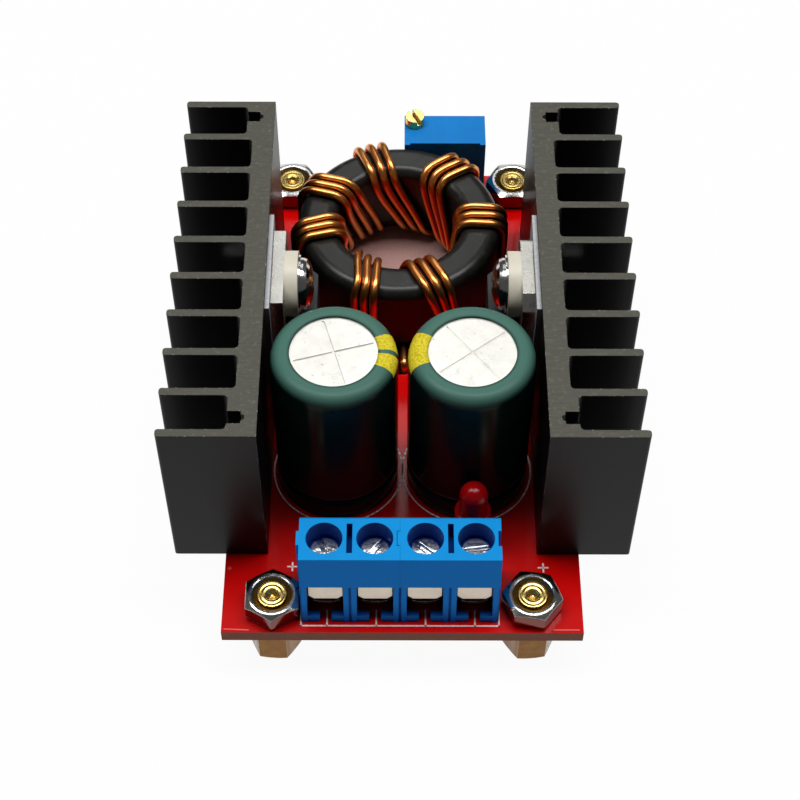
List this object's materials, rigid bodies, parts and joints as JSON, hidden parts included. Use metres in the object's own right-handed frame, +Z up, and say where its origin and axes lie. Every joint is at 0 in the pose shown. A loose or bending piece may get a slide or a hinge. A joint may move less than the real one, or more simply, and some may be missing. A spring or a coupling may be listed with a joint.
{
  "type": "boost converter module",
  "caption": "Open-frame voltage converter board with finned heatsinks, a toroid choke, can capacitors, screw terminals and a trimmer, standing on threaded posts.",
  "frame": {"origin": "bottom centre of the bounding box, on the feet of the posts", "axes": "+X across the board, -Y to the screw terminals, +Y to the trimmer, +Z up"},
  "size_m": [0.048, 0.0646, 0.0278],
  "materials": {
    "solder_mask": "gloss",
    "brass": "satin",
    "nickel": "gloss",
    "black_anodised": "satin",
    "tinned": "satin",
    "pad_grey": "matte",
    "bush_ivory": "matte",
    "moulding_black": "matte",
    "core_coat": "satin",
    "copper": "gloss",
    "can_metal": "satin",
    "sleeve_green": "gloss",
    "seal_rubber": "matte",
    "terminal_blue": "satin",
    "trimmer_blue": "satin",
    "lamp_red": "gloss",
    "ceramic_tan": "matte",
    "solder": "gloss"
  },
  "bodies": {
    "base": {"pcb": "solder_mask", "posts": "brass", "nuts": "nickel", "heatsink_left": "black_anodised", "heatsink_right": "black_anodised", "heatsink_pins": "tinned", "insulating_pads": "pad_grey", "insulating_bushes": "bush_ivory", "device_screws": "nickel", "transistor_leadframe": "tinned", "transistor_body": "moulding_black", "diode_leadframe": "tinned", "diode_body": "moulding_black", "choke_core": "core_coat", "choke_strand_a": "copper", "choke_strand_b": "copper", "choke_strand_c": "copper", "capacitor_left_can": "can_metal", "capacitor_left_sleeve": "sleeve_green", "capacitor_left_seal": "seal_rubber", "capacitor_left_leads": "tinned", "capacitor_right_can": "can_metal", "capacitor_right_sleeve": "sleeve_green", "capacitor_right_seal": "seal_rubber", "capacitor_right_leads": "tinned", "terminal_housing_in": "terminal_blue", "terminal_housing_out": "terminal_blue", "terminal_frame_1": "tinned", "terminal_frame_2": "tinned", "terminal_frame_3": "tinned", "terminal_frame_4": "tinned", "trimmer_housing": "trimmer_blue", "trimmer_plate": "trimmer_blue", "trimmer_pins": "tinned", "led_lens": "lamp_red", "led_leads": "tinned", "control_chip_body": "moulding_black", "control_chip_leads": "tinned", "chip_resistors": "moulding_black", "chip_capacitors": "ceramic_tan", "sense_resistor": "moulding_black", "solder_joints": "solder"},
    "trimmer_screw": {"trimmer_screw": "brass"},
    "terminal_screw_1": {"terminal_screw_1": "nickel"},
    "terminal_screw_2": {"terminal_screw_2": "nickel"},
    "terminal_screw_3": {"terminal_screw_3": "nickel"},
    "terminal_screw_4": {"terminal_screw_4": "nickel"},
    "terminal_leaf_1": {"terminal_leaf_1": "tinned"},
    "terminal_leaf_2": {"terminal_leaf_2": "tinned"},
    "terminal_leaf_3": {"terminal_leaf_3": "tinned"},
    "terminal_leaf_4": {"terminal_leaf_4": "tinned"}
  },
  "joints": [
    {"name": "trimmer_screw_turn", "type": "hinge", "parent": "base", "child": "trimmer_screw", "pos_m": [0.00144, 0.0309, 0.0175], "axis": [0, 0, -1], "continuous": true},
    {"name": "terminal_leaf_1_slide", "type": "slide", "parent": "base", "child": "terminal_leaf_1", "axis": [0, 0, -1], "range_m": [-0.001, 0.001]},
    {"name": "terminal_screw_1_turn", "type": "hinge", "parent": "terminal_leaf_1", "child": "terminal_screw_1", "pos_m": [-0.00787, -0.02728, 0.0145], "axis": [0, 0, -1], "range_deg": [-720, 720]},
    {"name": "terminal_leaf_2_slide", "type": "slide", "parent": "base", "child": "terminal_leaf_2", "axis": [0, 0, -1], "range_m": [-0.001, 0.001]},
    {"name": "terminal_screw_2_turn", "type": "hinge", "parent": "terminal_leaf_2", "child": "terminal_screw_2", "pos_m": [-0.00279, -0.02728, 0.0145], "axis": [0, 0, -1], "range_deg": [-720, 720]},
    {"name": "terminal_leaf_3_slide", "type": "slide", "parent": "base", "child": "terminal_leaf_3", "axis": [0, 0, -1], "range_m": [-0.001, 0.001]},
    {"name": "terminal_screw_3_turn", "type": "hinge", "parent": "terminal_leaf_3", "child": "terminal_screw_3", "pos_m": [0.00229, -0.02728, 0.0145], "axis": [0, 0, -1], "range_deg": [-720, 720]},
    {"name": "terminal_leaf_4_slide", "type": "slide", "parent": "base", "child": "terminal_leaf_4", "axis": [0, 0, -1], "range_m": [-0.001, 0.001]},
    {"name": "terminal_screw_4_turn", "type": "hinge", "parent": "terminal_leaf_4", "child": "terminal_screw_4", "pos_m": [0.00737, -0.02728, 0.0145], "axis": [0, 0, -1], "range_deg": [-720, 720]}
  ],
  "couplings": [
    {"joint": "terminal_screw_1_turn", "follows": "terminal_leaf_1_slide", "rad_per_m": 12566},
    {"joint": "terminal_screw_2_turn", "follows": "terminal_leaf_2_slide", "rad_per_m": 12566},
    {"joint": "terminal_screw_3_turn", "follows": "terminal_leaf_3_slide", "rad_per_m": 12566},
    {"joint": "terminal_screw_4_turn", "follows": "terminal_leaf_4_slide", "rad_per_m": 12566}
  ]
}
